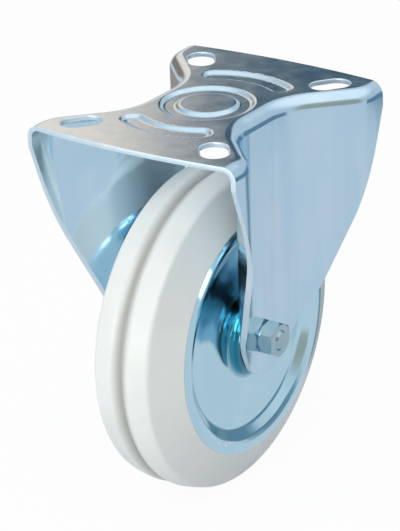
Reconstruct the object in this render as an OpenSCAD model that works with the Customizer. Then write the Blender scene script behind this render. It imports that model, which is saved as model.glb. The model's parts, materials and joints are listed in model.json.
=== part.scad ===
// Fixed industrial castor: one pressed sheet bracket, a white tyre held between two pressed
// rim discs, and a caged roller bearing that turns on a sleeve and bolt between the legs.
// The origin is the centre of the mounting face on top of the plate. X is the rolling
// direction, Y runs along the axle and Z points up.

/* [Overall] */
// Diameter of the wheel over its tread
wheel_d = 130.4; // [125:0.2:134]
// Height from the floor to the mounting face
overall_h = 157.7; // [154:0.1:168]

/* [Bracket] */
// Thickness of the pressed sheet
sheet_t = 2; // [1.6:0.1:2.4]
// Length of the plate along its middle
plate_len = 109.6; // [107:0.2:113]
// Radius of the bowed ends of the plate
plate_end_r = 340; // [260:10:500]
// Width over the outer faces of the ears
ear_w = 93.6; // [91:0.2:96]
// Clear width between the legs at the axle
fork_gap = 45; // [44.4:0.2:48]
// Angle at which a leg flares from its web to its ears
flare_deg = 44; // [42:1:46]
// Bend radius from web to flare, at mid-sheet
web_bend_r = 26; // [20:1:27]
// Bend radius from flare to ear, at mid-sheet
ear_bend_r = 14.5; // [10:0.5:16]
// Inner radius of the fold between plate and leg
fold_r = 3.5; // [2.5:0.5:4.5]
// Half-width of a leg's outline at the height of the axle
leg_half_w = 21.8; // [20.5:0.1:23]
// Lean of a leg's edges from the vertical
leg_taper_deg = 19.7; // [18:0.1:21]
// Radius of the rounded foot of a leg
foot_r = 15.3; // [14:0.1:16]
// Height above the axle at which the foot widens into the leg
shoulder_h = 12; // [10:0.5:14]
// Radius that eases that shoulder
shoulder_r = 30; // [20:1:40]

/* [Mounting slots] */
// Distance between slot centres along the rolling direction
slot_pitch_x = 80; // [78:1:82]
// Distance between slot centres along the axle
slot_pitch_y = 60; // [58:1:62]
// Width of a slot
slot_w = 10.5; // [8.5:0.1:11]
// Length of a slot, which points at the middle of the plate
slot_len = 16; // [13:0.5:17]

/* [Embossing] */
// Depth of the pressed grooves
emboss_depth = 1.1; // [0.8:0.1:1.4]
// Width of a groove's sloping wall, seen from above
emboss_wall = 2.5; // [2:0.1:2.8]
// Outer radius of the ring groove
ring_r = 18.7; // [17.5:0.1:19.5]
// Width of the ring groove's floor
ring_floor = 3.3; // [2.5:0.1:4]
// Radius of the two curved grooves, at mid-floor
curve_r = 31.5; // [30.5:0.1:32.5]
// Width of a curved groove's floor
curve_floor = 5; // [4:0.1:5.5]
// Half the angle over which a curved groove runs
curve_half_deg = 29; // [24:1:30]

/* [Tyre] */
// Width of the tyre where the rim discs hold it
tyre_w = 38; // [37:0.5:39.5]
// Width between the shoulders of the tread
tread_w = 24.2; // [23:0.1:26]
// Radius of the tread's crown, seen along the direction of travel
tread_crown_r = 40; // [36:1:60]
// Radius that rounds a shoulder
tread_shoulder_r = 1.5; // [1:0.1:2.5]
// Width of the groove round the middle of the tread, before its lips are rounded
groove_w = 5; // [4:0.1:6]
// Depth of that groove below the crown
groove_depth = 2.6; // [2:0.1:3.2]
// Radius that rounds the lips of the groove
groove_lip_r = 5; // [3:0.5:6]
// Diameter of the tyre's bore
tyre_bore_d = 72; // [66:1:76]

/* [Rim discs] */
// Diameter of a rim disc
rim_d = 97.2; // [94:0.2:99]
// Thickness of the disc sheet
disc_t = 1.5; // [1.2:0.1:1.8]
// Height of the rolled flange over the outer edge of the disc
flange_h = 0.9; // [0.6:0.1:1.2]
// Distance from the disc's edge to the crest of its flange
flange_w = 2.8; // [2.4:0.1:3.2]
// Depth of the dish below the disc's outer edge
dish_depth = 3.2; // [2.8:0.1:3.6]
// Width of the wall from the flange's crest down to the dish
dish_wall_w = 4.8; // [4.2:0.1:5.4]
// Inner radius of the bends in the disc
disc_bend_r = 1.6; // [1.2:0.1:2]
// Outer diameter of the collar round the hub
collar_d = 30.4; // [28:0.2:32]

/* [Bearing and axle] */
// Diameter of the axle bolt
bolt_d = 8; // [7:0.5:9]
// Clearance round the bolt in the sleeve and the legs
bolt_clear = 0.2; // [0.1:0.05:0.3]
// Outer diameter of the sleeve that the rollers run on
sleeve_d = 12; // [11.5:0.1:12.5]
// Bore of the hub tube that runs round the rollers
hub_bore_d = 21; // [20.6:0.1:21.4]
// Number of rollers in the cage
roller_count = 9; // [7:1:9]
// Length of a roller
roller_len = 34; // [28:1:36]
// Radial running clearance of a roller
run_clear = 0.03; // [0.02:0.01:0.05]
// Clearance round a roller in its pocket
pocket_clear = 0.12; // [0.1:0.01:0.2]
// Gap between the cage and what it turns between
cage_gap = 0.5; // [0.4:0.1:0.7]
// Thickness of the washer at each end of the hub
washer_t = 0.8; // [0.6:0.1:1.2]
// Diameter of that washer
washer_d = 24; // [22:0.5:26]
// End play between a washer and the hub
end_play = 0.3; // [0.2:0.05:0.5]
// Width across the flats of the nut and the bolt's head
nut_af = 13; // [12:0.5:13]
// Height of the nut
nut_h = 6.5; // [6:0.1:7]
// Height of the bolt's head
head_h = 5.3; // [5:0.1:6]
// Flat sheet left beside the nut before the leg starts to flare
seat_margin = 0.9; // [0.5:0.1:1.5]
// Length of bolt that shows past the nut
bolt_proud = 0.6; // [0:0.1:1.5]

/* [Hidden] */
$fn = 96;
zinc = [0.72, 0.8, 0.86];
rim_blue = [0.45, 0.7, 0.8];
ivory = [0.93, 0.94, 0.92];
nylon = [0.88, 0.86, 0.78];
steel = [0.62, 0.64, 0.66];

wheel_r = wheel_d / 2;
axle_drop = overall_h - wheel_r;
half_t = sheet_t / 2;
fold_out = fold_r + sheet_t;
web_y = fork_gap / 2 + half_t;
ear_y = ear_w / 2 - half_t;
// Corners of web and flare, and of flare and ear, at mid-sheet
web_x = nut_af / 2 + seat_margin + web_bend_r * tan(flare_deg / 2);
flare_x = web_x + (ear_y - web_y) / tan(flare_deg);
leg_face_y = fork_gap / 2 + sheet_t;
// How far cutters and blanks run past the finished shape
past = 10;
leg_depth = axle_drop + foot_r + past;
// How far the edge strip of a leg reaches in under the plate's own area
plate_lap = 2;
// Largest turn between two points of a rounded corner
arc_step = 6;
fold_steps = 9;
end_steps = 19;
crown_steps = 3;

disc_edge_y = tyre_w / 2;
dish_y = disc_edge_y - dish_depth;
rim_r = rim_d / 2;
collar_r = collar_d / 2;
hub_r = collar_r - disc_t;
hub_bore_r = hub_bore_d / 2;
sleeve_r = sleeve_d / 2;
hub_half = fork_gap / 2 - washer_t - end_play;
roller_r = (hub_bore_r - sleeve_r) / 2 - run_clear;
pitch_r = (hub_bore_r + sleeve_r) / 2;
pocket_r = roller_r + pocket_clear;
cage_half = hub_half - cage_gap;
bolt_r = bolt_d / 2;
axle_hole_r = bolt_r + bolt_clear;
// A hexagon's corners lie this much further out than its flats
hex_r = nut_af / 2 / cos(30);
// The corners of nut and head are turned off at this angle
hex_chamfer_deg = 30;

// Plane helpers

function direction(a) = [cos(a), sin(a)];
function left_of(a) = [-sin(a), cos(a)];
function heading(p, q) = atan2(q[1] - p[1], q[0] - p[0]);
function half_circle(a) = a > 180 ? a - 360 : a < -180 ? a + 360 : a;
// How far a path turns to the left at its point i
function turn_at(path, i) =
    half_circle(heading(path[i], path[i + 1]) - heading(path[i - 1], path[i]));
function is_end(path, i) = i == 0 || i == len(path) - 1;
// Point i of a path, moved by d to the left of both sides that meet there
function mitred(path, i, d) =
    let(last = len(path) - 1,
        before = left_of(heading(path[max(i - 1, 0)], path[max(i, 1)])),
        after = left_of(heading(path[min(i, last - 1)], path[min(i + 1, last)])))
    path[i] + d * (before + after) / (1 + before * after);
// The arc of radius r that rounds a path at its point i
function corner_arc(path, i, r) =
    let(a = heading(path[i - 1], path[i]), turn = turn_at(path, i), side = sign(turn),
        steps = ceil(abs(turn) / arc_step),
        centre = path[i] - r * tan(abs(turn) / 2) * direction(a) + side * r * left_of(a))
    [for (k = [0:steps]) centre - side * r * left_of(a + turn * k / steps)];
// A path moved by d to its left, where radii holds the bend at each of its own corners
function rail(path, radii, d) =
    let(moved = [for (i = [0:len(path) - 1]) mitred(path, i, d)])
    [for (i = [0:len(path) - 1]) each is_end(path, i) || radii[i] == 0 ? [moved[i]]
     : corner_arc(moved, i, radii[i] - sign(turn_at(path, i)) * d)];
function backwards(path) = [for (i = [len(path) - 1:-1:0]) path[i]];

// The solid between loops of equally many points, its ends closed by strips that join each
// point of the loop to the one as far from the loop's other end
module loft(loops) {
    count = len(loops[0]);
    last = (len(loops) - 1) * count;
    strips = [for (j = [0:count / 2 - 2]) [j, j + 1, count - 2 - j, count - 1 - j]];
    polyhedron(
        points = [for (loop = loops) each loop],
        faces = concat(
            [for (i = [0:len(loops) - 2], j = [0:count - 1])
                let(a = i * count + j, b = i * count + (j + 1) % count)
                [a, a + count, b + count, b]],
            strips,
            [for (strip = strips) [for (corner = backwards(strip)) corner + last]]));
}

// Bracket

// Mid-surface of a leg seen from above, and the bend at each of its corners
leg_path = [[-plate_len / 2 - past, ear_y], [-flare_x, ear_y], [-web_x, web_y],
            [web_x, web_y], [flare_x, ear_y], [plate_len / 2 + past, ear_y]];
leg_bends = [0, ear_bend_r, web_bend_r, web_bend_r, ear_bend_r, 0];
// Section of the sheet from under the plate's top, round the fold and down the leg: each
// point is its distance outwards from the leg's mid-surface and its height
fold_mid = half_t - fold_out;
function fold_arc(r) = [for (k = [0:fold_steps])
    let(p = r * direction(90 - 90 * k / fold_steps)) [fold_mid + p[0], p[1] - fold_out]];
sheet_section = concat(
    [[fold_mid - plate_lap, 0]], fold_arc(fold_out), [[half_t, -leg_depth], [-half_t, -leg_depth]],
    backwards(fold_arc(fold_r)), [[fold_mid - plate_lap, -sheet_t]]);

// One leg with its fold and the edge of the plate: the section carried along the leg's plan
module leg() {
    rails = [for (p = sheet_section) rail(leg_path, leg_bends, p[0])];
    loft([for (i = [len(rails[0]) - 1:-1:0])
          [for (j = [0:len(rails) - 1]) [rails[j][i][0], rails[j][i][1], sheet_section[j][1]]]]);
}

// Outline of the legs seen along the axle, with the axle at the origin
module side_outline() {
    lean = tan(leg_taper_deg);
    top_h = axle_drop + past;
    shoulder = [leg_half_w + shoulder_h * lean, shoulder_h];
    // The edge below the shoulder meets the foot's circle at this angle
    foot_deg = heading([0, 0], shoulder) - acos(foot_r / norm(shoulder));
    edge = rail([[leg_half_w + top_h * lean, top_h], shoulder, foot_r * direction(foot_deg)],
                [0, shoulder_r, 0], 0);
    foot_steps = ceil((180 + 2 * foot_deg) / arc_step);
    foot = [for (k = [1:foot_steps - 1])
            foot_r * direction(foot_deg - (180 + 2 * foot_deg) * k / foot_steps)];
    polygon(concat(edge, foot, [for (p = backwards(edge)) [-p[0], p[1]]]));
}

// Plan of the whole bracket between its bowed ends
module end_plan() {
    intersection() {
        end_circle(-1);
        end_circle(1);
        square([plate_len + 2 * past, ear_w + 2 * past], center = true);
    }
}

module end_circle(side) {
    translate([side * (plate_end_r - plate_len / 2), 0]) circle(plate_end_r, $fn = 360);
}

// Half-width of a groove with this floor at height z, where its walls end at height 0
function groove_half(floor_w, z) = floor_w / 2 + emboss_wall * (1 + z / emboss_depth);

// Section of the ring groove pressed down from height top, with its walls run on above it
module ring_section(top) {
    half_top = groove_half(ring_floor, half_t);
    half_floor = ring_floor / 2;
    translate([ring_r - emboss_wall - ring_floor / 2, top])
        polygon([[-half_top, half_t], [half_top, half_t],
                 [half_floor, -emboss_depth], [-half_floor, -emboss_depth]]);
}

// Outline of a curved groove of half-width w: out along its arc, round one end and back
function curve_loop(w, z) =
    let(arc_steps = ceil(2 * curve_half_deg / arc_step),
        end = [for (k = [0:end_steps]) let(a = 90 - 180 * (k + 0.5) / (end_steps + 1)) a],
        start_end = [for (a = end) curve_end(w, -1, a)],
        far_end = [for (a = end) curve_end(w, 1, a)],
        outer = [for (k = [0:arc_steps])
                 (curve_r + w) * direction(curve_half_deg * (2 * k / arc_steps - 1))],
        inner = [for (k = [arc_steps:-1:0])
                 (curve_r - w) * direction(curve_half_deg * (2 * k / arc_steps - 1))],
        half = len(end) / 2)
    [for (p = concat([for (k = [half - 1:-1:0]) start_end[k]], outer, far_end, inner,
                     [for (k = [len(end) - 1:-1:half]) start_end[k]])) [p[0], p[1], z]];
// Point of a curved groove's round end at angle a from straight on
function curve_end(w, side, a) =
    let(turn = side * curve_half_deg)
    curve_r * direction(turn) + w * direction(turn + side * (90 - a));

// Both curved grooves pressed down from height top, with their walls run on above it
module curved_grooves(top) {
    for (turn = [0, 180]) rotate([0, 0, turn]) translate([0, 0, top])
        loft([curve_loop(curve_floor / 2, -emboss_depth),
              curve_loop(groove_half(curve_floor, half_t), half_t)]);
}

module grooves(top) {
    rotate_extrude() ring_section(top);
    curved_grooves(top);
}

// Plan of the flat plate, which laps the edge strips that the legs carry
module plate_plan() {
    edge = rail(leg_path, leg_bends, fold_mid - plate_lap / 2);
    polygon(concat(edge, [for (p = backwards(edge)) [p[0], -p[1]]]));
}

// The flat middle of the sheet, which carries the grooves
module plate() {
    translate([0, 0, -sheet_t]) linear_extrude(height = sheet_t) plate_plan();
}

module mounting_slots() {
    half = (slot_len - slot_w) / 2;
    for (sx = [-1, 1], sy = [-1, 1])
        translate([sx * slot_pitch_x / 2, sy * slot_pitch_y / 2, -sheet_t - past])
            rotate([0, 0, sx * sy * atan2(slot_pitch_y, slot_pitch_x)]) {
                for (end = [-half, half]) translate([end, 0, 0])
                    cylinder(d = slot_w, h = sheet_t + 2 * past);
                translate([-half, -slot_w / 2, 0])
                    cube([2 * half, slot_w, sheet_t + 2 * past]);
            }
}

// Plate, folds and legs as one sheet, before its outline is cut
module blank() {
    difference() {
        union() {
            plate();
            for (side = [0, 1]) mirror([0, side, 0]) leg();
            grooves(-sheet_t);
        }
        grooves(0);
    }
}

module bracket() {
    color(zinc) difference() {
        intersection() {
            blank();
            translate([0, ear_w, -axle_drop]) rotate([90, 0, 0])
                linear_extrude(height = 2 * ear_w) side_outline();
            translate([0, 0, -2 * axle_drop]) linear_extrude(height = 3 * axle_drop) end_plan();
        }
        mounting_slots();
        on_axle() cylinder(r = axle_hole_r, h = ear_w, center = true);
    }
}

// Wheel

// Turns a shape drawn round Z so that it runs along the axle
module on_axle() {
    translate([0, 0, -axle_drop]) rotate([-90, 0, 0]) children();
}

// Outer face of a rim disc, from the end of its collar to its edge, as radius and distance
// along the axle, and the bend at each corner
crest_r = rim_r - flange_w;
disc_face = [[collar_r, hub_half], [collar_r, dish_y], [crest_r - dish_wall_w, dish_y],
             [crest_r, disc_edge_y + flange_h], [rim_r, disc_edge_y]];
disc_bends = [0, disc_bend_r, disc_bend_r, disc_bend_r + disc_t, 0];
disc_back = rail(disc_face, disc_bends, -disc_t);

// Point of the tread's crown at this distance from the middle of the wheel
function crown_at(y) = [wheel_r - tread_crown_r + sqrt(pow(tread_crown_r, 2) - pow(y, 2)), y];

// Section of the tyre, whose flanks lie on the backs of the discs
module tyre_section() {
    crown = [for (k = [0:crown_steps])
             crown_at((groove_w + (tread_w - groove_w) * k / crown_steps) / 2)];
    tread = rail(concat([[wheel_r - groove_depth, 0]], crown, [[rim_r, disc_edge_y]]),
                 [0, groove_lip_r, for (k = [2:crown_steps]) 0, tread_shoulder_r, 0], 0);
    flank = [for (p = disc_back) if (p[0] > tyre_bore_d / 2) p];
    half = concat(tread, backwards(flank), [[tyre_bore_d / 2, dish_y - disc_t]]);
    polygon(concat(half, [for (p = backwards(half)) if (p[1] > 0) [p[0], -p[1]]]));
}

module tyre() {
    color(ivory) on_axle() rotate_extrude() tyre_section();
}

module rim_disc() {
    on_axle() rotate_extrude()
        polygon(concat(rail(disc_face, disc_bends, 0), backwards(disc_back)));
}

module rim_disc_right() {
    color(rim_blue) rim_disc();
}

module rim_disc_left() {
    color(rim_blue) mirror([0, 1, 0]) rim_disc();
}

module tube(outer_r, inner_r, half) {
    difference() {
        cylinder(r = outer_r, h = 2 * half, center = true);
        cylinder(r = inner_r, h = 2 * half + past, center = true);
    }
}

module hub_tube() {
    color(steel) on_axle() tube(hub_r, hub_bore_r, hub_half);
}

// Bearing and axle

module axle_sleeve() {
    color(steel) on_axle() tube(sleeve_r, axle_hole_r, fork_gap / 2);
}

module hub_washer(side) {
    color(zinc) on_axle() translate([0, 0, side * (fork_gap - washer_t) / 2])
        tube(washer_d / 2, sleeve_r + run_clear, washer_t / 2);
}

module hub_washer_left() {
    hub_washer(-1);
}

module hub_washer_right() {
    hub_washer(1);
}

module roller_cage() {
    color(nylon) on_axle() difference() {
        tube(hub_bore_r - cage_gap, sleeve_r + cage_gap, cage_half);
        for (i = [0:roller_count - 1]) at_roller(i)
            cylinder(r = pocket_r, h = roller_len + 2 * pocket_clear, center = true);
    }
}

module at_roller(i) {
    rotate([0, 0, 360 * i / roller_count]) translate([pitch_r, 0, 0]) children();
}

module roller(i) {
    if (i <= roller_count) color(steel) on_axle() at_roller(i - 1)
        cylinder(r = roller_r, h = roller_len, center = true);
}

// Hexagonal prism from z = 0 up to h, with its corners pointing up and down the leg. They are
// turned off at the far end, and at the near end too where both is true
module hexagon(h, both) {
    drop = (hex_r - nut_af / 2) * tan(hex_chamfer_deg);
    intersection() {
        rotate([0, 0, 30]) cylinder(r = hex_r, h = h, $fn = 6);
        rotate_extrude() polygon([[0, 0], [both ? nut_af / 2 : hex_r, 0],
                                  [hex_r, both ? drop : 0], [hex_r, h - drop],
                                  [nut_af / 2, h], [0, h]]);
    }
}

module axle_bolt() {
    tip = 0.8;
    shank = leg_face_y + nut_h + bolt_proud;
    color(zinc) on_axle() {
        translate([0, 0, -leg_face_y]) {
            cylinder(r = bolt_r, h = leg_face_y + shank - tip);
            translate([0, 0, leg_face_y + shank - tip])
                cylinder(r1 = bolt_r, r2 = bolt_r - tip, h = tip);
            mirror([0, 0, 1]) hexagon(head_h, false);
        }
    }
}

module axle_nut() {
    color(zinc) on_axle() difference() {
        translate([0, 0, leg_face_y]) hexagon(nut_h, true);
        cylinder(r = bolt_r, h = 2 * (leg_face_y + nut_h));
    }
}

bracket();
tyre();
rim_disc_left();
rim_disc_right();
hub_tube();
axle_sleeve();
hub_washer_left();
hub_washer_right();
roller_cage();
roller(1);  // roller_1
roller(2);  // roller_2
roller(3);  // roller_3
roller(4);  // roller_4
roller(5);  // roller_5
roller(6);  // roller_6
roller(7);  // roller_7
roller(8);  // roller_8
roller(9);  // roller_9
axle_bolt();
axle_nut();
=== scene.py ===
import json
import math

import bmesh
import bpy
import numpy as np
from mathutils import Matrix, Vector


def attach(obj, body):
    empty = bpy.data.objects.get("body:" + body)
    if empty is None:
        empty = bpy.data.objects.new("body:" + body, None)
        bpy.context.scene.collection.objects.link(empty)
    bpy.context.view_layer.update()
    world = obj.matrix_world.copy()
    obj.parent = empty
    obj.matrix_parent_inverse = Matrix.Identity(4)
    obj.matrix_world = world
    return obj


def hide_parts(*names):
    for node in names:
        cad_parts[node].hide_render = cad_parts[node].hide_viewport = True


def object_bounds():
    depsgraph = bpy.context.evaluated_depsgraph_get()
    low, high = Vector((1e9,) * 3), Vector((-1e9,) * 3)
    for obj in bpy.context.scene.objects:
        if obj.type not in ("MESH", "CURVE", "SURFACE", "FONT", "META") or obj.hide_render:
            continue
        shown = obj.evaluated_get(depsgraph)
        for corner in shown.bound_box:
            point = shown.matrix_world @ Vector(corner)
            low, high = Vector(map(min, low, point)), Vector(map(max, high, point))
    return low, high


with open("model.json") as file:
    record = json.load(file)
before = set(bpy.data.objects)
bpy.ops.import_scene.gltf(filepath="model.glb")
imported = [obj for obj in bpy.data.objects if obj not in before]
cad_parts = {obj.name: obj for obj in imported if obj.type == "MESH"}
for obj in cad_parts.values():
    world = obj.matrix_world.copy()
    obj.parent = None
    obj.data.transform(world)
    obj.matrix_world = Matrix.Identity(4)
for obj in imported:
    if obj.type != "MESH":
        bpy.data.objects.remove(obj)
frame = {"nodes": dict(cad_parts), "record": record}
cad_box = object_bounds()

# The part is worked out in millimetres and scaled to metres when a mesh is made. The studio
# round it is in metres.
MM = 0.001

# Bracket: one pressed sheet
SHEET_T = 2.0
PLATE_LEN = 109.6
PLATE_END_R = 340.0
EAR_W = 93.6
FORK_GAP = 45.0
FLARE = math.radians(44)
WEB_BEND_R = 26.0
EAR_BEND_R = 14.5
FOLD_R = 3.5
LEG_HALF_W = 21.8
LEG_TAPER = math.radians(19.7)
FOOT_R = 15.3
SHOULDER_H = 12.0
SHOULDER_R = 30.0
SHEET_EDGE_R = 0.35

# Rows and columns of the sheet's mesh, for a quarter of it
PLATE_ROWS, FOLD_ROWS, LEG_ROWS = 65, 13, 29
WEB_COLUMNS, WEB_BEND_COLUMNS, FLARE_COLUMNS, EAR_BEND_COLUMNS, EAR_COLUMNS = 9, 30, 16, 18, 8

# Mounting slots
SLOT_X, SLOT_Y = 40.0, 30.0
SLOT_W, SLOT_LEN = 10.5, 16.0
SLOT_EDGE_R = 0.45

# Pressed grooves
EMBOSS_DEPTH = 1.1
EMBOSS_WALL = 2.5
RING_R = 18.7
RING_FLOOR = 3.3
CURVE_R = 31.5
CURVE_FLOOR = 5.0
CURVE_HALF = math.radians(29)

# Wheel
AXLE_DROP = 92.5
WHEEL_R = 65.2
TYRE_BORE_R = 36.0
TYRE_HALF_W = 19.0
TREAD_HALF_W = 12.1
CROWN_R = 40.0
SHOULDER_ROUND = 2.6
TREAD_GROOVE_HALF_W = 2.5
TREAD_GROOVE_DEPTH = 2.6
GROOVE_LIP_R = 5.0
GROOVE_LIP_REACH = 2.55
GROOVE_FLOOR_R = 0.25
TYRE_CORNER_R = 0.2
TYRE_BORE_EDGE_R = 0.3
RIM_R = 48.6
DISC_T = 1.5
DISH_DEPTH = 3.2
DISH_EDGE_R = 38.9
DISH_BEND_R = 4.0
ROLL_EDGE = (43.0, 18.95)
ROLL_BEND_R = 4.0
CREST = (46.0, 20.1)
CREST_BEND_R = 3.6
COLLAR_BEND_R = 3.0
WEB_STEP = 1.3
WEB_STEP_IN_R = 22.5
WEB_STEP_OUT_R = 31.0
WEB_STEP_BEND_R = 38.0
COLLAR_R = 15.2
HUB_HALF = 21.4

# Bolt and nut
NUT_AF = 13.0
SEAT_MARGIN = 0.9
NUT_H = 6.5
NUT_SEAT_H = 0.5
NUT_SEAT_R = 5.9
HEAD_H = 5.3
BOLT_R = 4.0
AXLE_HOLE_GAP = 0.2
BOLT_PROUD = 0.6
BOLT_CHAMFER = 0.9
THREAD_PITCH = 1.25
THREAD_DEPTH = 0.62
THREAD_CREST = 1 / 6
THREAD_LEN = 6.0
THREAD_SHARP = math.radians(35)
HEX_CORNER_R = 0.35
HEX_CHAMFER = math.radians(30)
HEX_CHAMFER_START = 0.97
HEX_SHARP = math.radians(24)
NUT_BORE_R = BOLT_R - 0.25
BORE_CHAMFER = 0.5
COUNTERSINK_W, COUNTERSINK_H = 0.45, 0.3
HEAD_SEAT_IN = 0.2
HEAD_DIMPLE_R = 0.4

HALF_T = SHEET_T / 2
FOLD_OUT = FOLD_R + SHEET_T
FOLD_MID = HALF_T - FOLD_OUT
WEB_Y = FORK_GAP / 2 + HALF_T
EAR_Y = EAR_W / 2 - HALF_T
WEB_FLAT_X = NUT_AF / 2 + SEAT_MARGIN
FLARE_X = WEB_FLAT_X + WEB_BEND_R * math.tan(FLARE / 2) + (EAR_Y - WEB_Y) / math.tan(FLARE)
EAR_FLAT_X = FLARE_X + EAR_BEND_R * math.tan(FLARE / 2)
LEG_FACE_Y = FORK_GAP / 2 + SHEET_T


# Meshes

def new_piece(name, verts, faces, normals=None):
    """A smooth-shaded mesh object from millimetre coordinates. A zero normal is left to Blender."""
    mesh = bpy.data.meshes.new(name)
    mesh.from_pydata((np.asarray(verts) * MM).tolist(), [], faces)
    mesh.update()
    mesh.shade_smooth()
    if normals is not None:
        mesh.normals_split_custom_set_from_vertices(np.asarray(normals).tolist())
    piece = bpy.data.objects.new(name, mesh)
    bpy.context.scene.collection.objects.link(piece)
    return piece


def dress(piece, body, slot, material, *nodes):
    """Rides a finished piece on its body, in place of the CAD nodes it stands for."""
    piece.data.materials.append(material)
    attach(piece, body)
    if nodes:
        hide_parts(*nodes)


def unit(v):
    v = np.asarray(v, float)
    return v / np.maximum(np.linalg.norm(v, axis=-1, keepdims=True), 1e-12)


def tube_faces(rings, count, closed=False, flip=False):
    """Quads between neighbouring rings of count points. Closed, the last ring joins the
    first, and otherwise a polygon caps each end."""
    faces = [(i * count + j, i * count + (j + 1) % count,
              (i + 1) % rings * count + (j + 1) % count, (i + 1) % rings * count + j)
             for i in range(rings - 1 + closed) for j in range(count)]
    if not closed:
        faces += [tuple(range(count))[::-1], tuple(range((rings - 1) * count, rings * count))]
    return [(face[0], *face[:0:-1]) for face in faces] if flip else faces


def turn_faces_outwards(piece):
    bm = bmesh.new()
    bm.from_mesh(piece.data)
    bmesh.ops.recalc_face_normals(bm, faces=bm.faces)
    bm.to_mesh(piece.data)
    bm.free()


def rounded_path(points, radii, step=math.radians(5)):
    """Points and left-hand normals of a polyline whose inner corners are true arcs."""
    points = np.asarray(points, float)
    out, normals = [], []
    for i, p in enumerate(points):
        a = unit(p - points[i - 1]) if i else None
        b = unit(points[i + 1] - p) if i + 1 < len(points) else None
        if a is None or b is None:
            t = b if a is None else a
            out.append(p)
            normals.append((-t[1], t[0]))
            continue
        turn = math.atan2(a[0] * b[1] - a[1] * b[0], a @ b)
        side, r = math.copysign(1, turn), radii[i]
        left = np.array((-a[1], a[0]))
        centre = p - a * r * math.tan(abs(turn) / 2) + left * side * r
        steps = max(2, math.ceil(abs(turn) / step))
        for k in range(steps + 1):
            w = turn * k / steps
            n = left * math.cos(w) - a * math.sin(w)
            out.append(centre - side * r * n)
            normals.append(n)
    return np.array(out), np.array(normals)


def revolve(name, points, normals, segments=288):
    """Turns a closed section of radius and distance along the axle into a ring. The section
    runs clockwise, with its normals on its left."""
    turns = np.arange(segments) * 2 * math.pi / segments
    cos, sin = np.cos(turns)[:, None], np.sin(turns)[:, None]

    def spin(section, drop):
        r, y = section[:, 0][None, :], section[:, 1][None, :]
        return np.stack([r * cos, y + 0 * cos, r * sin - drop], -1).reshape(-1, 3)

    faces = tube_faces(segments, len(points), closed=True, flip=True)
    return new_piece(name, spin(points, AXLE_DROP), faces, spin(normals, 0))


# Bracket

def plan_curve(s):
    """Point and outward normal of a leg's mid-surface in plan, s along it from the middle."""
    web_arc = WEB_BEND_R * FLARE
    tan_half = math.tan(FLARE / 2)
    slope = (EAR_Y - WEB_Y) / math.sin(FLARE) - (WEB_BEND_R + EAR_BEND_R) * tan_half
    marks = np.cumsum([WEB_FLAT_X, web_arc, slope, EAR_BEND_R * FLARE])
    turn = np.clip((s - marks[0]) / WEB_BEND_R, 0, FLARE)
    turn = np.where(s > marks[2], FLARE - np.clip((s - marks[2]) / EAR_BEND_R, 0, FLARE), turn)
    n = np.stack([-np.sin(turn), np.cos(turn)], -1)
    web_centre = np.array([WEB_FLAT_X, WEB_Y + WEB_BEND_R])
    ear_centre = np.array([EAR_FLAT_X, EAR_Y - EAR_BEND_R])
    flare_n = np.array([-math.sin(FLARE), math.cos(FLARE)])
    flare_t = np.array([math.cos(FLARE), math.sin(FLARE)])
    s = s[:, None]
    return np.select(
        [s <= marks[0], s <= marks[1], s <= marks[2], s <= marks[3]],
        [np.hstack([s, 0 * s + WEB_Y]), web_centre - WEB_BEND_R * n,
         web_centre - WEB_BEND_R * flare_n + (s - marks[1]) * flare_t,
         ear_centre + EAR_BEND_R * n],
        np.hstack([EAR_FLAT_X + s - marks[3], 0 * s + EAR_Y])), n, marks


def end_x(y):
    """Where the plate's bowed end cuts the sheet at distance y from the middle."""
    return PLATE_LEN / 2 - PLATE_END_R + np.sqrt(PLATE_END_R ** 2 - y ** 2)


def leg_outline():
    """Lower edge of a leg as height over distance from the middle, both from the axle."""
    lean = math.tan(LEG_TAPER)
    shoulder = np.array((LEG_HALF_W + SHOULDER_H * lean, SHOULDER_H))
    foot = math.atan2(shoulder[1], shoulder[0]) - math.acos(FOOT_R / np.linalg.norm(shoulder))
    tangent = FOOT_R * np.array((math.cos(foot), math.sin(foot)))
    top = (LEG_HALF_W + AXLE_DROP * lean, AXLE_DROP)
    edge, _ = rounded_path([tangent, shoulder, top], [0, SHOULDER_R, 0], math.radians(1))
    angles = np.linspace(-math.pi / 2, foot, 40)[:-1]
    return np.vstack([FOOT_R * np.stack([np.cos(angles), np.sin(angles)], -1), edge])


LEG_OUTLINE = leg_outline()


def leg_bottom(x):
    return np.interp(np.abs(x), LEG_OUTLINE[:, 0], LEG_OUTLINE[:, 1]) - AXLE_DROP


def ease(t):
    t = np.clip(t, 0, 1)
    return t * t * (3 - 2 * t)


def groove_depth(x, y):
    """How far the pressed grooves sink the plate at a point."""
    x, y = np.abs(x), np.abs(y)
    r = np.hypot(x, y)
    ring = (ease((RING_R - r) / EMBOSS_WALL)
            * ease((r - RING_R + RING_FLOOR + 2 * EMBOSS_WALL) / EMBOSS_WALL))
    angle = np.arctan2(y, x)
    end = np.hypot(x - CURVE_R * math.cos(CURVE_HALF), y - CURVE_R * math.sin(CURVE_HALF))
    off = np.where(angle < CURVE_HALF, np.abs(r - CURVE_R), end)
    curve = ease((CURVE_FLOOR / 2 + EMBOSS_WALL - off) / EMBOSS_WALL)
    return EMBOSS_DEPTH * np.maximum(ring, curve)


def groove_slope(x, y, h=0.02):
    gx = (groove_depth(x + h, y) - groove_depth(x - h, y)) / (2 * h)
    gy = (groove_depth(x, y + h) - groove_depth(x, y - h)) / (2 * h)
    return gx, gy


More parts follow.
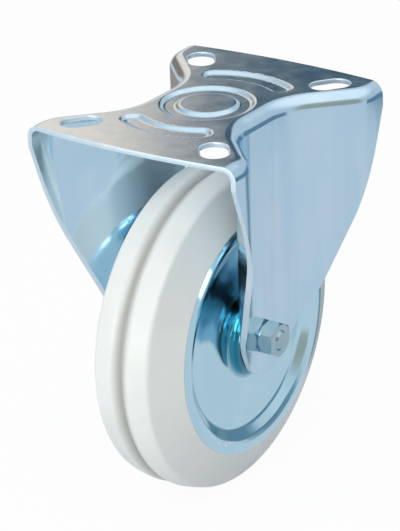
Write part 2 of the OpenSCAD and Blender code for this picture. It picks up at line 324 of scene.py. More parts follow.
def quarter_sheet(side):
    """One face of the front right quarter of the sheet: rows from the plate's middle over
    the fold to the foot, columns from the middle of the leg to its edge. side is +1 for the
    outer face and -1 for the inner one."""
    _, _, marks = plan_curve(np.zeros(1))
    columns = (WEB_COLUMNS, WEB_BEND_COLUMNS, FLARE_COLUMNS, EAR_BEND_COLUMNS)
    s = np.concatenate([np.linspace(a, b, n, endpoint=False)
                        for a, b, n in zip((0, *marks), marks, columns)])
    ear = np.linspace(0, 1, EAR_COLUMNS)
    on_ear = len(s)
    s = np.concatenate([s, marks[3] + ear * (end_x(EAR_Y) - EAR_FLAT_X)])
    p, n, _ = plan_curve(s)
    reach = s / s[-1]

    def column(d):
        xy = p + d * n
        last = end_x(xy[on_ear:, 1])
        xy[on_ear:, 0] = EAR_FLAT_X + ear * (last - EAR_FLAT_X)
        return xy

    rows = []
    fold_start = column(FOLD_MID)
    for v in np.linspace(0, 1, PLATE_ROWS, endpoint=False):
        y = v * fold_start[:, 1]
        bow = end_x(y) - ((1 - v) * end_x(0) + v * end_x(fold_start[-1, 1]))
        x = (1 - v) * reach * end_x(0) + v * fold_start[:, 0] + bow * reach ** 6
        z = -groove_depth(x, y) - (0 if side > 0 else SHEET_T)
        rows.append(np.stack([x, y, z], -1))
    radius = FOLD_OUT if side > 0 else FOLD_R
    for turn in np.linspace(math.pi / 2, 0, FOLD_ROWS):
        xy = column(FOLD_MID + radius * math.cos(turn))
        rows.append(np.column_stack([xy, 0 * s - FOLD_OUT + radius * math.sin(turn)]))
    xy = column(side * HALF_T)
    bottom = leg_bottom(xy[:, 0])
    for v in np.linspace(0, 1, LEG_ROWS + 1)[1:]:
        rows.append(np.column_stack([xy, (1 - v) * -FOLD_OUT + v * bottom]))
    return np.array(rows)


def mirrored_grid(quarter):
    half = np.concatenate([(quarter * (-1, 1, 1))[:, :0:-1], quarter], axis=1)
    return np.concatenate([(half * (1, -1, 1))[:0:-1], half], axis=0)


def nearest_on_plan(points):
    """Distance outwards from the leg's mid-surface, and the outward normal, in plan."""
    q, web = np.abs(points[:, :2]), np.array([WEB_FLAT_X, WEB_Y + WEB_BEND_R])
    ear = np.array([EAR_FLAT_X, EAR_Y - EAR_BEND_R])
    flare_n = np.array([-math.sin(FLARE), math.cos(FLARE)])
    to_web, to_ear = web - q, q - ear
    web_turn = np.arctan2(to_web[:, 0], to_web[:, 1])
    ear_turn = np.arctan2(-to_ear[:, 0], to_ear[:, 1])
    in_web = (q[:, 0] > WEB_FLAT_X) & (web_turn > -FLARE)
    in_ear = (q[:, 0] < EAR_FLAT_X) & (ear_turn < FLARE) & (to_ear[:, 1] > 0)
    flare_d = (q - web) @ flare_n + WEB_BEND_R
    d = np.select(
        [q[:, 0] <= WEB_FLAT_X, q[:, 0] >= EAR_FLAT_X, in_web, in_ear],
        [q[:, 1] - WEB_Y, q[:, 1] - EAR_Y, WEB_BEND_R - np.linalg.norm(to_web, axis=1),
         np.linalg.norm(to_ear, axis=1) - EAR_BEND_R], flare_d)
    n = np.where((q[:, 0] <= WEB_FLAT_X)[:, None] | (q[:, 0] >= EAR_FLAT_X)[:, None], (0, 1),
                 np.where(in_web[:, None], unit(to_web),
                          np.where(in_ear[:, None], unit(to_ear), flare_n)))
    return d, n * np.where(points[:, :2] < 0, -1, 1)


def sheet_normals(points, tolerance=0.012):
    """Exact normals of the pressed sheet's two faces at points on them, and zero elsewhere."""
    d, n = nearest_on_plan(points)
    z = points[:, 2]
    out = np.zeros((len(points), 3))
    wall = (z < -FOLD_OUT + 1e-6) & (np.abs(np.abs(d) - HALF_T) < tolerance)
    out[wall, :2] = n[wall] * np.sign(d[wall])[:, None]
    across, up = d - FOLD_MID, z + FOLD_OUT
    radius = np.hypot(across, up)
    for r, side in ((FOLD_OUT, 1), (FOLD_R, -1)):
        fold = (across > 0) & (up > 0) & (np.abs(radius - r) < tolerance)
        out[fold] = side * unit(np.column_stack([n * across[:, None], up])[fold])
    sunk = -groove_depth(points[:, 0], points[:, 1])
    gx, gy = groove_slope(points[:, 0], points[:, 1])
    for level, side in ((sunk, 1), (sunk - SHEET_T, -1)):
        flat = (across <= 0) & (np.abs(z - level) < tolerance)
        out[flat] = side * unit(np.stack([gx, gy, np.ones_like(gx)], -1)[flat])
    return out


def grid_faces(rows, cols, start, flip):
    i, j = np.meshgrid(np.arange(rows - 1), np.arange(cols - 1), indexing="ij")
    a = (start + i * cols + j).ravel()
    quads = np.stack([a, a + 1, a + cols + 1, a + cols], -1)
    return (quads[:, ::-1] if flip else quads).tolist()


def rim_of_grid(rows, cols):
    """Indices round the border of a grid, in order."""
    return ([j for j in range(cols)] + [i * cols + cols - 1 for i in range(1, rows)]
            + [(rows - 1) * cols + j for j in range(cols - 2, -1, -1)]
            + [i * cols for i in range(rows - 2, 0, -1)])


def sheet_mesh():
    outer, inner = (mirrored_grid(quarter_sheet(side)) for side in (1, -1))
    rows, cols = outer.shape[:2]
    count = rows * cols
    rim = rim_of_grid(rows, cols)
    faces = grid_faces(rows, cols, 0, False) + grid_faces(rows, cols, count, True)
    faces += [(a, a + count, b + count, b) for a, b in zip(rim, rim[1:] + rim[:1])]
    piece = new_piece("fork_sheet", np.concatenate([outer.reshape(-1, 3), inner.reshape(-1, 3)]),
                      faces)
    bm = bmesh.new()
    bm.from_mesh(piece.data)
    bm.verts.ensure_lookup_table()
    edges = [bm.edges.get((bm.verts[a + k], bm.verts[b + k]))
             for a, b in zip(rim, rim[1:] + rim[:1]) for k in (0, count)]
    bmesh.ops.bevel(bm, geom=edges, offset=SHEET_EDGE_R * MM, segments=3, profile=0.5,
                    affect="EDGES", clamp_overlap=True)
    bmesh.ops.recalc_face_normals(bm, faces=bm.faces)
    bm.to_mesh(piece.data)
    bm.free()
    return piece


def slot_loop(offset, ends=20):
    """Outline of a mounting slot, grown by offset, in the slot's own axes."""
    half, r = (SLOT_LEN - SLOT_W) / 2, SLOT_W / 2 + offset
    turns = np.linspace(-math.pi / 2, math.pi / 2, ends)
    right = np.stack([half + r * np.cos(turns), r * np.sin(turns)], -1)
    return np.vstack([right, -right])


def slot_cutter(name, x, y, above=1.0, wider=0.3, steps=5):
    """A punch with flared ends, so that the slot's edges come out rounded. Above and below
    the sheet it widens further."""
    angle = math.atan2(y, x)
    turn = np.array([[math.cos(angle), math.sin(angle)], [-math.sin(angle), math.cos(angle)]])
    bend = np.linspace(0, math.pi / 2, steps)
    drops = SLOT_EDGE_R * (1 - np.cos(bend))
    flares = SLOT_EDGE_R * (1 - np.sin(bend))
    levels = [(above, SLOT_EDGE_R + wider)] + list(zip(-drops, flares))
    levels += [(-SHEET_T - z, w) for z, w in levels[::-1]]
    rings = [np.column_stack([slot_loop(w) @ turn + (x, y), np.full(len(slot_loop(w)), z)])
             for z, w in levels]
    return new_piece(name, np.vstack(rings), tube_faces(len(rings), len(rings[0]), flip=True))


def axle_hole_cutter(radius, segments=64):
    turns = np.arange(segments) * 2 * math.pi / segments
    ring = np.stack([radius * np.cos(turns), radius * np.sin(turns) - AXLE_DROP], -1)
    verts = np.vstack([np.column_stack([ring[:, 0], np.full(segments, y), ring[:, 1]])
                       for y in (-EAR_W, EAR_W)])
    return new_piece("axle_hole", verts, tube_faces(2, segments))


def cut(piece, cutters):
    for cutter in cutters:
        modifier = piece.modifiers.new("cut", "BOOLEAN")
        modifier.object = cutter
        modifier.solver = "EXACT"
    graph = bpy.context.evaluated_depsgraph_get()
    mesh = bpy.data.meshes.new_from_object(piece.evaluated_get(graph))
    piece.modifiers.clear()
    piece.data = mesh
    for cutter in cutters:
        bpy.data.objects.remove(cutter)


def build_bracket(material, edge_material):
    piece = sheet_mesh()
    cutters = [slot_cutter(f"slot_{i}", sx * SLOT_X, sy * SLOT_Y)
               for i, (sx, sy) in enumerate([(1, 1), (1, -1), (-1, 1), (-1, -1)])]
    cut(piece, cutters + [axle_hole_cutter(BOLT_R + AXLE_HOLE_GAP)])
    mesh = piece.data
    co = np.empty(len(mesh.vertices) * 3)
    mesh.vertices.foreach_get("co", co)
    mesh.shade_smooth()
    normals = sheet_normals(co.reshape(-1, 3) / MM)
    mesh.normals_split_custom_set_from_vertices(normals.tolist())
    dress(piece, "frame", "zinc", material, "bracket")
    mesh.materials.append(edge_material)
    on_face = np.linalg.norm(normals, axis=1) > 0.5
    for polygon in mesh.polygons:
        polygon.material_index = int(not on_face[list(polygon.vertices)].all())


# Wheel

def disc_face_path():
    """Outer face of a rim disc as radius and distance along the axle, and its bends."""
    dish_y = TYRE_HALF_W - DISH_DEPTH
    return ([(COLLAR_R, HUB_HALF), (COLLAR_R, dish_y + WEB_STEP),
             (WEB_STEP_IN_R, dish_y + WEB_STEP), (WEB_STEP_OUT_R, dish_y),
             (DISH_EDGE_R, dish_y), ROLL_EDGE, CREST, (RIM_R, TYRE_HALF_W)],
            [0, COLLAR_BEND_R, WEB_STEP_BEND_R, WEB_STEP_BEND_R, DISH_BEND_R, ROLL_BEND_R,
             CREST_BEND_R, 0])


def shifted(path, d):
    """A polyline moved by d to its right, mitred at its corners."""
    path = np.asarray(path, float)
    sides = unit(np.diff(path, axis=0))
    right = np.stack([sides[:, 1], -sides[:, 0]], -1)
    before = np.vstack([right[:1], right])
    after = np.vstack([right, right[-1:]])
    return path + d * (before + after) / (1 + (before * after).sum(1))[:, None]


def build_disc(name, side, material, node):
    path, bends = disc_face_path()
    face, face_n = rounded_path(path, bends)
    # The back's bends are wider by the sheet where the path turns left, and tighter elsewhere
    turns = [0, 1, -1, 1, 1, -1, -1, 0]
    back, back_n = rounded_path(shifted(path, DISC_T),
                                [b + t * DISC_T for b, t in zip(bends, turns)])
    points = np.vstack([face, back[::-1]]) * (1, side)
    normals = np.vstack([face_n, -back_n[::-1]]) * (1, side)
    piece = revolve(name, points[::side], normals[::side])
    dress(piece, "wheel", "rim", material, node)


def crown_at(angle, reach=0.0):
    """Point of the tread's crown at an angle from its middle, or reach further along the
    tangent there."""
    crown = np.array((WHEEL_R - CROWN_R, 0))
    out, along = np.array((math.cos(angle), math.sin(angle))), (-math.sin(angle), math.cos(angle))
    return crown + CROWN_R * out + reach * np.array(along)


def build_tyre(material):
    path, _ = disc_face_path()
    first = math.asin((TREAD_GROOVE_HALF_W + GROOVE_LIP_REACH) / CROWN_R)
    last = math.asin((TREAD_HALF_W - SHOULDER_ROUND) / CROWN_R)
    flank = shifted(path, DISC_T)[4:][::-1]
    corners = [(WHEEL_R - TREAD_GROOVE_DEPTH, 0),
               crown_at(first, -GROOVE_LIP_REACH),
               crown_at(first, CROWN_R * math.tan((last - first) / 2)),
               crown_at(last, SHOULDER_ROUND),
               (RIM_R, TYRE_HALF_W), *flank,
               (TYRE_BORE_R, TYRE_HALF_W - DISH_DEPTH - DISC_T)]
    radii = [GROOVE_FLOOR_R, GROOVE_LIP_R, CROWN_R, SHOULDER_ROUND, TYRE_CORNER_R,
             TYRE_CORNER_R, CREST_BEND_R - DISC_T, ROLL_BEND_R - DISC_T,
             DISH_BEND_R + DISC_T, TYRE_BORE_EDGE_R]
    half = np.array(corners)
    loop = np.vstack([half[::-1], half[1:] * (1, -1)])
    points, normals = rounded_path(np.vstack([loop[-1], loop, loop[0]]),
                                   [0, *radii[::-1], *radii[1:], 0])
    piece = revolve("tyre_rubber", points[1:-1], normals[1:-1])
    dress(piece, "wheel", "tyre", material, "tyre")


# Fasteners

def hex_radius(turns, af, corner_r):
    """Radius of a hexagon with rounded corners at each angle, with flats at 0 degrees."""
    local = (turns + math.pi / 6) % (math.pi / 3) - math.pi / 6
    flat = af / 2 / np.cos(local)
    corner = (af / 2 - corner_r) / math.cos(math.pi / 6)
    from_corner = math.pi / 6 - np.abs(local)
    half_chord = corner * np.sin(from_corner)
    round_r = corner * np.cos(from_corner) + np.sqrt(np.maximum(corner_r ** 2 - half_chord ** 2, 0))
    return np.where(half_chord < corner_r * math.sin(math.pi / 6), round_r, flat)


def hex_body(name, height, inner_r, side, nut, segments=144, edge_r=0.02, edge_h=0.12):
    """A hexagon nut or bolt head from the leg's face outwards, its corners turned off at the
    top. A nut has a bore, and a round seat below corners that are turned off there too."""
    turns = np.arange(segments) * 2 * math.pi / segments
    hexagon = hex_radius(turns, NUT_AF, HEX_CORNER_R)
    cone_r = NUT_AF / 2 * HEX_CHAMFER_START
    drop = np.maximum(hexagon - cone_r, 0) * math.tan(HEX_CHAMFER)
    far, near = height - drop, drop + NUT_SEAT_H if nut else 0 * drop
    seat = [(NUT_SEAT_R, 0), (NUT_SEAT_R, NUT_SEAT_H), (cone_r, NUT_SEAT_H)]
    rings = [(inner_r, BORE_CHAMFER), (inner_r + BORE_CHAMFER, 0),
             *(seat if nut else [(cone_r - HEAD_SEAT_IN, 0)]),
             (hexagon - edge_r, near), (hexagon, near + edge_h), (hexagon, (near + far) / 2),
             (hexagon, far - edge_h), (hexagon - edge_r, far), (cone_r, height),
             (inner_r + COUNTERSINK_W, height), (inner_r, height - COUNTERSINK_H)]
    verts = np.vstack([
        np.column_stack([r * np.cos(turns), side * (LEG_FACE_Y + y + 0 * turns),
                         r * np.sin(turns) - AXLE_DROP]) for r, y in rings])
    piece = new_piece(name, verts, tube_faces(len(rings), segments, closed=nut))
    turn_faces_outwards(piece)
    piece.data.set_sharp_from_angle(angle=HEX_SHARP)
    return piece


def build_nut(material):
    piece = hex_body("nut", NUT_H, NUT_BORE_R, 1, True)
    dress(piece, "frame", "zinc", material, "axle_nut")


def bolt_thread(name, segments=64, per_pitch=10):
    """The bolt's shank with its chamfered, threaded end."""
    end = LEG_FACE_Y + NUT_H + BOLT_PROUD
    in_head = -LEG_FACE_Y - 0.5
    thread_start = LEG_FACE_Y - THREAD_LEN
    steps = np.arange(thread_start, end, THREAD_PITCH / per_pitch)
    ys = np.concatenate([[in_head], steps, [end]])
    turns = np.arange(segments) * 2 * math.pi / segments
    y, t = np.meshgrid(ys, turns, indexing="ij")
    phase = (y / THREAD_PITCH - t / (2 * math.pi)) % 1
    # Flat crests and sharp roots
    tooth = np.clip((2 * np.abs(phase - 0.5) - THREAD_CREST) / (1 - THREAD_CREST), 0, 1)
    r = BOLT_R - np.where(y > thread_start, THREAD_DEPTH * tooth, 0)
    r = np.minimum(r, BOLT_R - BOLT_CHAMFER * (1 - (end - y)))
    verts = np.stack([r * np.cos(t), y, r * np.sin(t) - AXLE_DROP], -1).reshape(-1, 3)
    piece = new_piece(name, verts, tube_faces(len(ys), segments))
    turn_faces_outwards(piece)
    piece.data.set_sharp_from_angle(angle=THREAD_SHARP)
    return piece


def build_bolt(material):
    shank = bolt_thread("bolt_shank")
    dress(shank, "frame", "zinc", material, "axle_bolt")
    head = hex_body("bolt_head", HEAD_H, HEAD_DIMPLE_R, -1, False)
    dress(head, "frame", "zinc", material, "axle_bolt")


# Materials

# Lighter zinc for worn edges, which also serves as a painted edge highlight
WORN_AND_HIGHLIT_ZINC = (0.86, 0.89, 0.91, 1)
# Darker rubber for painted shade down in the tread's groove
GROOVE_SHADE_RUBBER = (0.42, 0.42, 0.39, 1)


class Nodes:
    """Short calls for building the node tree of a material or the world."""

    def __init__(self, owner, coords="Object"):
        owner.use_nodes = True
        self.owner = owner
        self.tree = owner.node_tree
        self.shader = self.tree.nodes.get("Principled BSDF")
        self.coords = self.add("ShaderNodeTexCoord").outputs[coords]

    def add(self, kind, **values):
        node = self.tree.nodes.new(kind)
        for key, value in values.items():
            setattr(node, key, value)
        return node

    def link(self, a, b):
        self.tree.links.new(a, b)

    def scaled(self, x, y, z):
        """The object's coordinates stretched along each axis."""
        node = self.add("ShaderNodeMapping")
        node.inputs["Scale"].default_value = (x, y, z)
        self.link(self.coords, node.inputs["Vector"])
        return node.outputs["Vector"]

    def noise(self, vector, scale, detail=4.0, rough=0.55):
        node = self.add("ShaderNodeTexNoise")
        node.inputs["Scale"].default_value = scale
        node.inputs["Detail"].default_value = detail
        node.inputs["Roughness"].default_value = rough
        self.link(vector, node.inputs["Vector"])
        return node.outputs["Fac"]

    def ramp(self, value, *stops):
        node = self.add("ShaderNodeValToRGB")
        elements = node.color_ramp.elements
        while len(elements) < len(stops):
            elements.new(0.5)
        for element, (at, colour) in zip(elements, stops):
            element.position = at
            element.color = (*colour, 1)
        self.link(value, node.inputs["Fac"])
        return node.outputs["Color"]

    def span(self, value, low, high, to_low, to_high):
        node = self.add("ShaderNodeMapRange")
        for name, number in zip(("From Min", "From Max", "To Min", "To Max"),
                                (low, high, to_low, to_high)):
            node.inputs[name].default_value = number
        self.link(value, node.inputs["Value"])
        return node.outputs["Result"]

    def eased(self, value, low, high):
        """0 at low and 1 at high, with soft ends."""
        node = self.add("ShaderNodeMapRange", interpolation_type="SMOOTHSTEP")
        node.inputs["From Min"].default_value = low
        node.inputs["From Max"].default_value = high
        self.link(value, node.inputs["Value"])
        return node.outputs["Result"]

    def math(self, operation, a, b=None):
        node = self.add("ShaderNodeMath", operation=operation)
        for socket, value in zip(node.inputs, (a, b)):
            if isinstance(value, bpy.types.NodeSocket):
                self.link(value, socket)
            elif value is not None:
                socket.default_value = value
        return node.outputs[0]

    def from_axle(self):
        """Distance from the wheel's axle, and from its middle plane."""
        node = self.add("ShaderNodeSeparateXYZ")
        self.link(self.coords, node.inputs[0])
        x, y, z = node.outputs
        drop = self.math("ADD", z, AXLE_DROP * MM)
        squares = self.math("ADD", self.math("MULTIPLY", x, x), self.math("MULTIPLY", drop, drop))
        return self.math("SQRT", squares), self.math("ABSOLUTE", y)

    def mix(self, factor, a, b):
        node = self.add("ShaderNodeMix", data_type="RGBA")
        for socket, value in ((node.inputs[0], factor), (node.inputs[6], a), (node.inputs[7], b)):
            if isinstance(value, bpy.types.NodeSocket):
                self.link(value, socket)
            else:
                socket.default_value = value
        return node.outputs[2]

    def end_with(self, shader):
        """Puts a shader node on the material's output."""
        self.link(shader.outputs[0], self.tree.nodes["Material Output"].inputs["Surface"])

    def bump(self, height, strength, distance, under=None):
        node = self.add("ShaderNodeBump")
        node.inputs["Strength"].default_value = strength
        node.inputs["Distance"].default_value = distance
        self.link(height, node.inputs["Height"])
        if under is not None:
            self.link(under, node.inputs["Normal"])
        return node.outputs["Normal"]


def zinc(name, base, deep, warm, rough=(0.10, 0.19), hub=None, metallic=1.0):
    """Bright passivated zinc: a mirror-like tinted metal with faint clouds and grain. hub is
    painted shade: a deeper teal near the axle, in the narrow gap between the disc and the leg."""
    n = Nodes(bpy.data.materials.new(name))
    clouds = n.noise(n.coords, 28, 2)
    tint = n.ramp(clouds, (0.30, deep), (0.50, base), (0.78, warm))
    bands = n.noise(n.scaled(1, 1, 0.08), 130, 2)
    tint = n.mix(n.span(bands, 0.38, 0.62, 0.0, 0.6), tint, (*deep, 1))
    # Painted shade: a deeper teal near the axle, in the gap between the disc and the leg
    if hub:
        radius, _ = n.from_axle()
        hub_shade = n.span(radius, (COLLAR_R + 0.8) * MM, (COLLAR_R + 3.3) * MM, 1.0, 0.0)
        tint = n.mix(hub_shade, tint, (*hub, 1))
    # Lighter zinc on sharp convex edges: wear, and a painted edge highlight
    convexity = n.add("ShaderNodeNewGeometry").outputs["Pointiness"]
    edge = n.span(convexity, 0.54, 0.62, 0.0, 0.5)
    n.link(n.mix(edge, tint, WORN_AND_HIGHLIT_ZINC), n.shader.inputs["Base Color"])
    smear = n.noise(n.scaled(1, 1, 0.25), 90, 5)
    n.link(n.span(smear, 0.3, 0.7, *rough), n.shader.inputs["Roughness"])
    grain = n.noise(n.scaled(1, 1, 0.4), 900, 3)
    waves = n.noise(n.coords, 22, 1)
    n.link(n.bump(grain, 0.05, 0.0002, n.bump(waves, 0.10, 0.0006)), n.shader.inputs["Normal"])
    n.shader.inputs["Metallic"].default_value = metallic
    return n.owner


def ivory_rubber():
    """Pale rubber, slightly waxy, with painted shade that makes it a little darker down in the
    tread's groove.
    """
    n = Nodes(bpy.data.materials.new("ivory_rubber"))
    clouds = n.noise(n.coords, 35, 4)
    tint = n.ramp(clouds, (0.3, (0.65, 0.66, 0.63)), (0.7, (0.70, 0.71, 0.68)))
    radius, side = n.from_axle()
    # Painted shade down in the tread's groove, near the middle plane and near the tread
    in_middle = n.span(side, 0.5 * MM, 4.0 * MM, 1.0, 0.0)
    in_tread = n.span(radius, (WHEEL_R - 5.2) * MM, (WHEEL_R - 3.2) * MM, 0.0, 1.0)
    groove_shade = n.math("MULTIPLY", in_middle, in_tread)
    n.link(n.mix(groove_shade, tint, GROOVE_SHADE_RUBBER), n.shader.inputs["Base Color"])
    smear = n.noise(n.coords, 120, 4)
    n.link(n.span(smear, 0.3, 0.7, 0.28, 0.40), n.shader.inputs["Roughness"])
    grain = n.noise(n.coords, 1500, 3)
    waves = n.noise(n.coords, 60, 2)
    n.link(n.bump(grain, 0.08, 0.0002, n.bump(waves, 0.12, 0.0005)), n.shader.inputs["Normal"])
    n.shader.inputs["Subsurface Weight"].default_value = 0.15
    n.shader.inputs["Subsurface Radius"].default_value = (0.004, 0.003, 0.002)
    return n.owner


def ground_steel():
    n = Nodes(bpy.data.materials.new("ground_steel"))
    streaks = n.noise(n.scaled(1, 12, 1), 160, 4)
    n.link(n.ramp(streaks, (0.3, (0.45, 0.46, 0.47)), (0.7, (0.60, 0.61, 0.62))),
           n.shader.inputs["Base Color"])
    n.link(n.span(streaks, 0.3, 0.7, 0.2, 0.35), n.shader.inputs["Roughness"])
    n.link(n.bump(streaks, 0.1, 0.0002), n.shader.inputs["Normal"])
    n.shader.inputs["Metallic"].default_value = 1.0
    return n.owner


def natural_nylon():
    n = Nodes(bpy.data.materials.new("natural_nylon"))
    clouds = n.noise(n.coords, 80, 3)
    n.link(n.ramp(clouds, (0.3, (0.72, 0.69, 0.60)), (0.7, (0.80, 0.77, 0.68))),
           n.shader.inputs["Base Color"])
    n.link(n.span(clouds, 0.3, 0.7, 0.4, 0.55), n.shader.inputs["Roughness"])
    n.link(n.bump(n.noise(n.coords, 900, 2), 0.1, 0.0002), n.shader.inputs["Normal"])
    return n.owner


# Studio

# The room's colour, and patches by azimuth, elevation, and the angles from there at which a
# patch starts and is full
ROOM = (0.59, 0.66, 0.73, 1)
ROOM_PATCHES = [
    ((90, 80, 60, 30), (1.02, 1.05, 1.08)),
    ((62, 8, 34, 16), (0.40, 0.40, 0.36)),
    ((250, 4, 28, 14), (0.30, 0.22, 0.18)),
    ((224, 23, 18, 8), (1.07, 0.86, 0.73)),
    ((205, 20, 11.8, 8.2), (0.06, 0.11, 0.15)),
]
DIFFUSE_LOSS = 0.11

# The floor's colour in reflections, and round dark patches painted on it that only reflections see,
# by centre, the distances in metres at which a patch is full and starts, and tone
FLOOR = (0.62, 0.68, 0.75, 1)
BROWN, PETROL = (0.30, 0.22, 0.18), (0.12, 0.22, 0.28)
FLOOR_MIRRORED_PATCHES = [
    ((-0.32, -0.40), 0.17, 0.30, BROWN),
    ((-1.35, 0.60), 0.95, 1.08, PETROL),
    ((-0.42, 0.03), 0.15, 0.22, PETROL),
    ((-0.21, -0.01), 0.10, 0.13, PETROL),
]
FLOOR_GLOW_SEEN, FLOOR_GLOW_MIRRORED = 0.94, 0.85
SCREEN = (0.15, 0.26, 0.35)


def build_camera():
    """The photograph's camera, worked out from its perspective, about the wheel's centre."""
    azimuth, elevation, roll = (math.radians(a) for a in (124.937, 23.814, -1.961))
    distance, right_shift, up_shift = 1067.706, -4.935, 22.871
    focal_px, frame_px, sensor = 2711.977, 531, 36.0
    back = Vector((math.sin(azimuth) * math.cos(elevation),
                   -math.cos(azimuth) * math.cos(elevation), math.sin(elevation)))
    right = Vector((math.cos(azimuth), math.sin(azimuth), 0))
    up = back.cross(right)
    place = back * distance + right * right_shift + up * up_shift - Vector((0, 0, AXLE_DROP))
    rolled_right = math.cos(roll) * right + math.sin(roll) * up
    rolled_up = math.cos(roll) * up - math.sin(roll) * right
    camera = bpy.data.objects.new("camera", bpy.data.cameras.new("camera"))
    camera.matrix_world = (Matrix.Translation(place * MM)
                           @ Matrix((rolled_right, rolled_up, back)).transposed().to_4x4())
    camera.data.sensor_width = sensor
    camera.data.lens = focal_px * sensor / frame_px
    camera.data.clip_start = 0.05
    bpy.context.scene.collection.objects.link(camera)
    bpy.context.scene.camera = camera


def area_light(name, place, target, size, watts, colour):
    light = bpy.data.lights.new(name, "AREA")
    light.shape = "RECTANGLE"
    light.size, light.size_y = size
    light.energy = watts
    light.color = colour
    lamp = bpy.data.objects.new(name, light)
    lamp.location = place
    aim = Vector(target) - Vector(place)
    lamp.rotation_euler = aim.to_track_quat("-Z", "Y").to_euler()
    bpy.context.scene.collection.objects.link(lamp)
    return lamp


def build_world():
    """White where the camera looks. For light and reflections, a pale room with the patches
    that the photograph's metal mirrors."""
    world = bpy.data.worlds.new("studio")
    bpy.context.scene.world = world
    n = Nodes(world, "Generated")

    def toward(azimuth, elevation, start, full):
        """1 within an angle of a direction, easing to 0 further out, all in degrees."""
        a, e = math.radians(azimuth), math.radians(elevation)
        dot = n.add("ShaderNodeVectorMath", operation="DOT_PRODUCT")
        dot.inputs[1].default_value = (math.cos(a) * math.cos(e), math.sin(a) * math.cos(e),
                                       math.sin(e))
        n.link(n.coords, dot.inputs[0])
        return n.eased(dot.outputs["Value"], *np.cos(np.radians((start, full))))

    room = ROOM
    for direction, colour in ROOM_PATCHES:
        room = n.mix(toward(*direction), room, (*colour, 1))
    ray = n.add("ShaderNodeLightPath").outputs
    room = n.mix(ray["Is Diffuse Ray"], room, n.mix(DIFFUSE_LOSS, room, (0, 0, 0, 1)))
    room = n.mix(ray["Is Camera Ray"], room, (1, 1, 1, 1))
    n.link(room, n.tree.nodes["Background"].inputs["Color"])


def studio_object(name, verts, faces, material):
    """A flat-shaded object from coordinates in metres."""
    mesh = bpy.data.meshes.new(name)
    mesh.from_pydata(verts, [], faces)
    mesh.materials.append(material)
    piece = bpy.data.objects.new(name, mesh)
    bpy.context.scene.collection.objects.link(piece)
    return piece


def build_floor(half=3.0):
    """A pale floor that keeps the shadow, white to the camera, with painted dark patches that only
    reflections see.
    """
    z = cad_box[0].z
    n = Nodes(bpy.data.materials.new("floor"))
    n.shader.inputs["Base Color"].default_value = (0.78, 0.79, 0.80, 1)
    n.shader.inputs["Roughness"].default_value = 0.9
    tone = FLOOR
    # Painted dark patches that only reflections see, for the metal to mirror
    for centre, full, start, patch_tone in FLOOR_MIRRORED_PATCHES:
        apart = n.add("ShaderNodeVectorMath", operation="DISTANCE")
        apart.inputs[1].default_value = (*centre, z)
        n.link(n.coords, apart.inputs[0])
        tone = n.mix(n.eased(apart.outputs["Value"], full, start), (*patch_tone, 1), tone)
    ray = n.add("ShaderNodeLightPath").outputs
    glow = n.add("ShaderNodeEmission")
    n.link(n.mix(ray["Is Camera Ray"], tone, (1, 1, 1, 1)), glow.inputs["Color"])
    seen = n.math("MULTIPLY", ray["Is Camera Ray"], FLOOR_GLOW_SEEN)
    mirrored = n.math("MULTIPLY", ray["Is Glossy Ray"], FLOOR_GLOW_MIRRORED)
    both = n.add("ShaderNodeMixShader")
    n.link(n.math("ADD", seen, mirrored), both.inputs[0])
    n.link(n.shader.outputs[0], both.inputs[1])
    n.link(glow.outputs[0], both.inputs[2])
    n.end_with(both)
    corners = [(-half, -half, z), (half, -half, z), (half, half, z), (-half, half, z)]
    floor = studio_object("floor", corners, [(0, 1, 2, 3)], n.owner)


def build_screen(radius=0.42, low=0.02, high=0.18, start=109, end=192, steps=48):
    """A low curved screen behind the wheel that only reflections see. The rims' dishes catch
    it, and the folds above look over it."""
    n = Nodes(bpy.data.materials.new("screen"))
    glow = n.add("ShaderNodeEmission")
    glow.inputs["Color"].default_value = (*SCREEN, 1)
    n.end_with(glow)
    turns = np.radians(np.linspace(start, end, steps))
    x, y = radius * np.cos(turns), radius * np.sin(turns)
    verts = np.vstack([np.column_stack([x, y, 0 * x + cad_box[0].z + z]) for z in (low, high)])
    faces = [(i, i + 1, steps + i + 1, steps + i) for i in range(steps - 1)]
    screen = studio_object("screen", verts.tolist(), faces, n.owner)
    screen.visible_camera = False
    screen.visible_diffuse = False
    screen.visible_transmission = False
    screen.visible_shadow = False


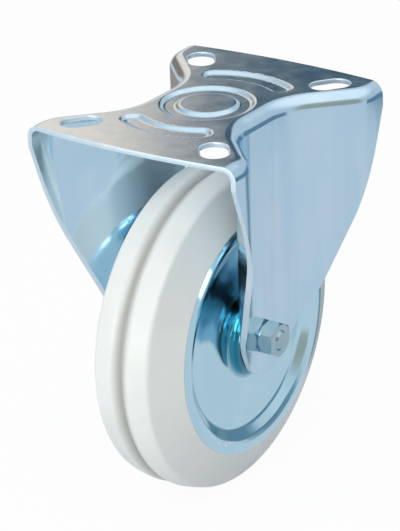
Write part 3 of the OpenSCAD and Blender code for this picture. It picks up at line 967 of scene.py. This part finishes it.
def dress_cad_nodes(materials):
    """The pieces inside the hub keep their CAD meshes and get a finish."""
    slots = {row["node"]: row["material_slot"] for row in frame["record"]["subparts"]}
    for name, node in frame["nodes"].items():
        if not node.hide_render:
            node.data.materials.clear()
            node.data.materials.append(materials[slots[name]])


bpy.context.scene.view_settings.view_transform = "Standard"
materials = {
    "zinc": zinc("blue_zinc", (0.64, 0.80, 0.90), (0.57, 0.75, 0.87), (0.69, 0.81, 0.87)),
    "zinc_edge": zinc("blue_zinc_edge", (0.66, 0.76, 0.82), (0.58, 0.70, 0.78),
                      (0.72, 0.79, 0.82), (0.30, 0.44), metallic=0.7),
    "zinc_nut": zinc("grey_zinc", (0.42, 0.56, 0.60), (0.36, 0.50, 0.55), (0.50, 0.61, 0.64)),
    # The rim's deeper teal near the axle is painted shade
    "rim": zinc("teal_zinc", (0.61, 0.82, 0.90), (0.57, 0.80, 0.88), (0.65, 0.83, 0.89),
                hub=(0.04, 0.27, 0.37)),
    "tyre": ivory_rubber(),
    "bearing_steel": ground_steel(),
    "nylon": natural_nylon(),
}
build_camera()
build_bracket(materials["zinc"], materials["zinc_edge"])
build_tyre(materials["tyre"])
build_disc("rim_right", 1, materials["rim"], "rim_disc_right")
build_disc("rim_left", -1, materials["rim"], "rim_disc_left")
build_nut(materials["zinc_nut"])
build_bolt(materials["zinc_nut"])
dress_cad_nodes(materials)
build_world()
build_floor()
build_screen()
area_light("key", (1.2, 0.35, 0.85), (0, 0, -0.08), (0.9, 0.9), 9.5, (1.0, 1.0, 0.98))
area_light("front", (1.3, -0.25, 0.05), (0, 0, -0.06), (0.8, 0.5), 5, (1.0, 1.0, 0.98))
area_light("left", (0.5, -1.1, 0.5), (0, 0, -0.08), (0.8, 0.8), 0.8, (0.98, 0.99, 1.0))
# The light that the bright plate throws back on the tyre below it
bounce = area_light("bounce", (0.012, 0, -0.007), (0.012, 0, -0.1), (0.08, 0.038), 0.008,
                    (0.96, 0.98, 1.0))
bounce.visible_glossy = False
